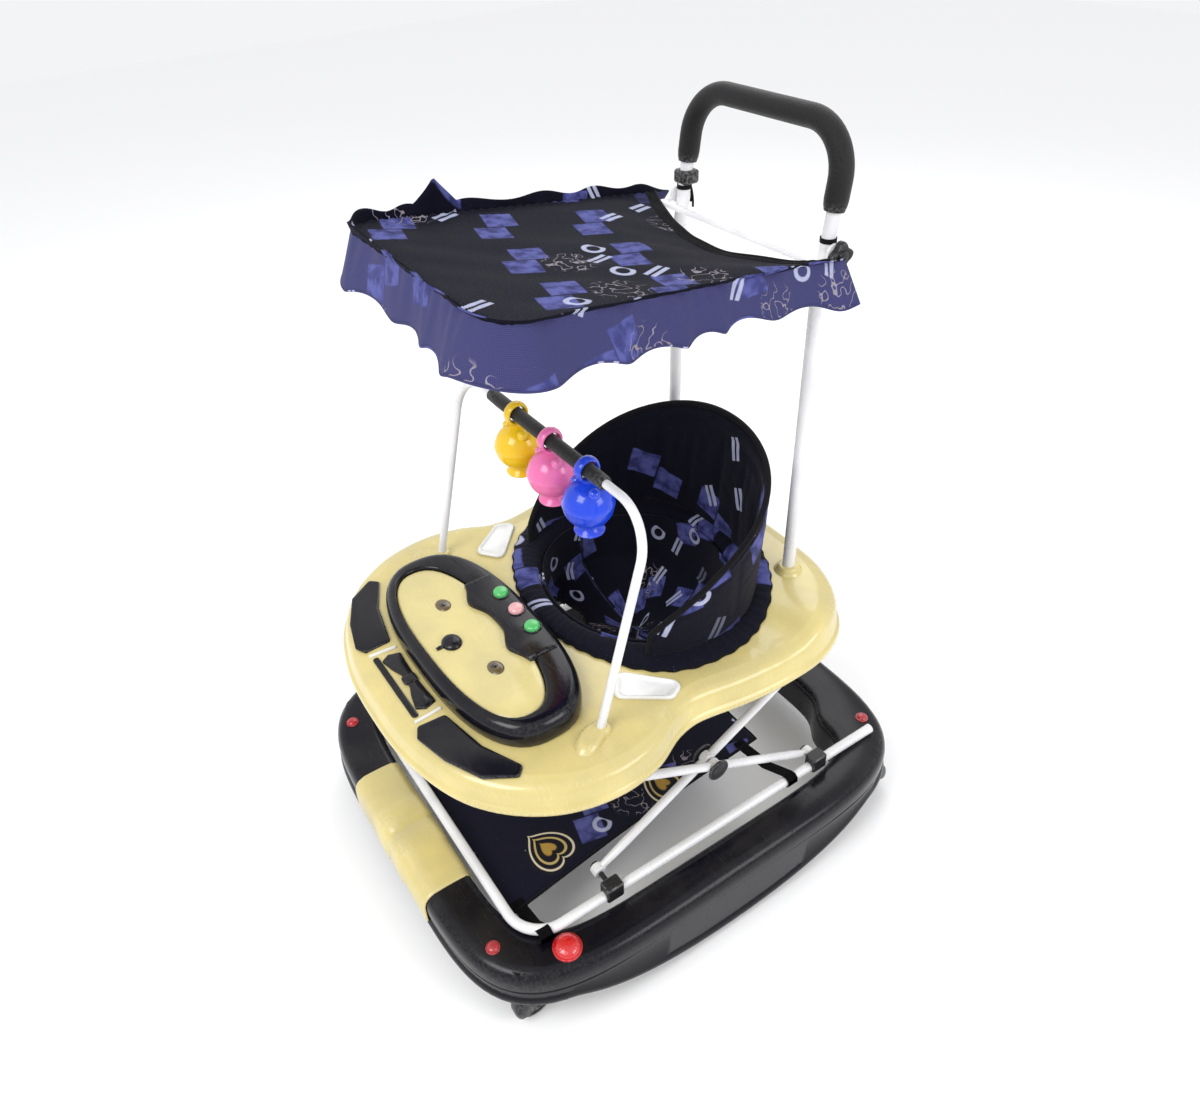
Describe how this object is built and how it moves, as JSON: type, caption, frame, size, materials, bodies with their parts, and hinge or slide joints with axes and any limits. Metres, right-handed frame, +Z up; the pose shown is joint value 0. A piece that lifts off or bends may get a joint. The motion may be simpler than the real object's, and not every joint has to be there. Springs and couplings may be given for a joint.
{
  "type": "baby walker",
  "caption": "Folding baby walker with a rocker base on swivel casters, play tray with face console, toy arch, padded seat, push handle and tilting sun canopy.",
  "frame": {"origin": "on the floor, under the middle of the base", "axes": "+Z up; -Y forward, the way the child looks; +X towards the child's left"},
  "size_m": [0.636, 0.7324, 0.9968],
  "materials": {
    "black_plastic": "glossy moulded",
    "cream_plastic": "glossy moulded, pale cream yellow",
    "white_plastic": "satin moulded",
    "white_tube": "white powder coat on steel tube",
    "red_plastic": "glossy moulded",
    "wheel_plastic": "matte nylon",
    "mat_fabric": "printed dark navy cloth",
    "seat_fabric": "printed dark navy padded cloth",
    "canopy_fabric": "printed dark navy thin cloth",
    "foam": "soft closed-cell foam",
    "green_plastic": "glossy moulded",
    "pink_plastic": "glossy moulded",
    "yellow_plastic": "glossy moulded",
    "blue_plastic": "glossy moulded"
  },
  "bodies": {
    "base": {"base_ring": "black_plastic", "front_panel": "cream_plastic", "stud_front_right": "red_plastic", "stud_front_left": "red_plastic", "stud_rear_right": "red_plastic", "stud_rear_left": "red_plastic", "reflector_right": "red_plastic", "reflector_left": "red_plastic", "base_tube": "white_tube", "foot_mat": "mat_fabric", "rear_bracket_right": "black_plastic", "rear_bracket_left": "black_plastic"},
    "outer_legs": {"outer_leg_right": "white_tube", "outer_leg_left": "white_tube"},
    "inner_legs": {"inner_leg_right": "white_tube", "inner_leg_left": "white_tube", "pivot_hub_right": "black_plastic", "pivot_hub_left": "black_plastic"},
    "upper_shoes": {"upper_shoe_right": "black_plastic", "upper_shoe_left": "black_plastic"},
    "lower_shoes": {"lower_shoe_right": "black_plastic", "lower_shoe_left": "black_plastic"},
    "tray": {"tray_shell": "cream_plastic", "tray_rail_right": "white_tube", "tray_rail_left": "white_tube", "snack_cup_right": "white_plastic", "snack_cup_left": "white_plastic", "play_console": "black_plastic", "face_plate": "cream_plastic", "button_panel": "black_plastic", "ear_panel_right": "black_plastic", "ear_panel_left": "black_plastic", "tie_inlay": "black_plastic", "toy_bar": "white_tube", "bar_sleeve": "foam", "seat_sling": "seat_fabric", "seat_back": "seat_fabric", "post_right": "white_tube", "post_left": "white_tube", "handle_arch": "white_tube", "foam_grip": "foam", "canopy_clip": "black_plastic"},
    "canopy": {"canopy_frame": "white_tube", "canopy_fabric": "canopy_fabric"},
    "canopy_knob": {"canopy_knob": "black_plastic"},
    "swivel_front_right": {"caster_hood_front_right": "black_plastic"},
    "wheel_front_right": {"caster_wheel_front_right": "wheel_plastic"},
    "swivel_front_left": {"caster_hood_front_left": "black_plastic"},
    "wheel_front_left": {"caster_wheel_front_left": "wheel_plastic"},
    "swivel_rear_right": {"caster_hood_rear_right": "black_plastic"},
    "wheel_rear_right": {"caster_wheel_rear_right": "wheel_plastic"},
    "swivel_rear_left": {"caster_hood_rear_left": "black_plastic"},
    "wheel_rear_left": {"caster_wheel_rear_left": "wheel_plastic"},
    "button_right": {"button_right": "green_plastic"},
    "button_middle": {"button_middle": "pink_plastic"},
    "button_left": {"button_left": "green_plastic"},
    "toy_yellow": {"toy_yellow": "yellow_plastic"},
    "toy_pink": {"toy_pink": "pink_plastic"},
    "toy_blue": {"toy_blue": "blue_plastic"}
  },
  "joints": [
    {"name": "fold", "type": "hinge", "parent": "base", "child": "outer_legs", "pos_m": [0, 0.199, 0.13], "axis": [1, 0, 0], "range_deg": [0, 23]},
    {"name": "scissor_pivot", "type": "hinge", "parent": "outer_legs", "child": "inner_legs", "pos_m": [0, 0.02, 0.225], "axis": [1, 0, 0], "range_deg": [-46, 0]},
    {"name": "tray_pivot", "type": "hinge", "parent": "inner_legs", "child": "tray", "pos_m": [0, 0.199, 0.32], "axis": [1, 0, 0], "range_deg": [0, 23]},
    {"name": "upper_shoe_pivot", "type": "hinge", "parent": "outer_legs", "child": "upper_shoes", "pos_m": [0, -0.159, 0.32], "axis": [1, 0, 0], "range_deg": [-23, 0]},
    {"name": "lower_shoe_pivot", "type": "hinge", "parent": "inner_legs", "child": "lower_shoes", "pos_m": [0, -0.159, 0.13], "axis": [1, 0, 0], "range_deg": [0, 23]},
    {"name": "canopy_tilt", "type": "hinge", "parent": "tray", "child": "canopy", "pos_m": [0, 0.24296, 0.849], "axis": [1, 0, 0], "range_deg": [-50, 15]},
    {"name": "knob_turn", "type": "hinge", "parent": "tray", "child": "canopy_knob", "pos_m": [0.147, 0.24296, 0.849], "axis": [1, 0, 0], "continuous": true},
    {"name": "swivel_front_right", "type": "hinge", "parent": "base", "child": "swivel_front_right", "pos_m": [-0.262, -0.304, 0.0525], "axis": [0, 0, 1], "continuous": true},
    {"name": "roll_front_right", "type": "hinge", "parent": "swivel_front_right", "child": "wheel_front_right", "pos_m": [-0.262, -0.294, 0.024], "axis": [1, 0, 0], "continuous": true},
    {"name": "swivel_front_left", "type": "hinge", "parent": "base", "child": "swivel_front_left", "pos_m": [0.262, -0.304, 0.0525], "axis": [0, 0, 1], "continuous": true},
    {"name": "roll_front_left", "type": "hinge", "parent": "swivel_front_left", "child": "wheel_front_left", "pos_m": [0.262, -0.294, 0.024], "axis": [1, 0, 0], "continuous": true},
    {"name": "swivel_rear_right", "type": "hinge", "parent": "base", "child": "swivel_rear_right", "pos_m": [-0.262, 0.304, 0.0525], "axis": [0, 0, 1], "continuous": true},
    {"name": "roll_rear_right", "type": "hinge", "parent": "swivel_rear_right", "child": "wheel_rear_right", "pos_m": [-0.262, 0.314, 0.024], "axis": [1, 0, 0], "continuous": true},
    {"name": "swivel_rear_left", "type": "hinge", "parent": "base", "child": "swivel_rear_left", "pos_m": [0.262, 0.304, 0.0525], "axis": [0, 0, 1], "continuous": true},
    {"name": "roll_rear_left", "type": "hinge", "parent": "swivel_rear_left", "child": "wheel_rear_left", "pos_m": [0.262, 0.314, 0.024], "axis": [1, 0, 0], "continuous": true},
    {"name": "swing_toy_yellow", "type": "hinge", "parent": "tray", "child": "toy_yellow", "pos_m": [-0.068, -0.068, 0.655], "axis": [1, 0, 0], "range_deg": [-60, 60]},
    {"name": "swing_toy_pink", "type": "hinge", "parent": "tray", "child": "toy_pink", "pos_m": [0.012, -0.068, 0.655], "axis": [1, 0, 0], "range_deg": [-60, 60]},
    {"name": "swing_toy_blue", "type": "hinge", "parent": "tray", "child": "toy_blue", "pos_m": [0.092, -0.068, 0.655], "axis": [1, 0, 0], "range_deg": [-60, 60]},
    {"name": "press_right", "type": "slide", "parent": "tray", "child": "button_right", "axis": [0, 0, -1], "range_m": [0, 0.0018], "stiffness_N_per_m": 400, "springref_m": -0.0008},
    {"name": "press_middle", "type": "slide", "parent": "tray", "child": "button_middle", "axis": [0, 0, -1], "range_m": [0, 0.0018], "stiffness_N_per_m": 400, "springref_m": -0.0008},
    {"name": "press_left", "type": "slide", "parent": "tray", "child": "button_left", "axis": [0, 0, -1], "range_m": [0, 0.0018], "stiffness_N_per_m": 400, "springref_m": -0.0008}
  ],
  "couplings": [
    {"joint": "scissor_pivot", "follows": "fold", "ratio": -2},
    {"joint": "tray_pivot", "follows": "fold", "ratio": 1},
    {"joint": "upper_shoe_pivot", "follows": "fold", "ratio": -1},
    {"joint": "lower_shoe_pivot", "follows": "fold", "ratio": 1}
  ]
}
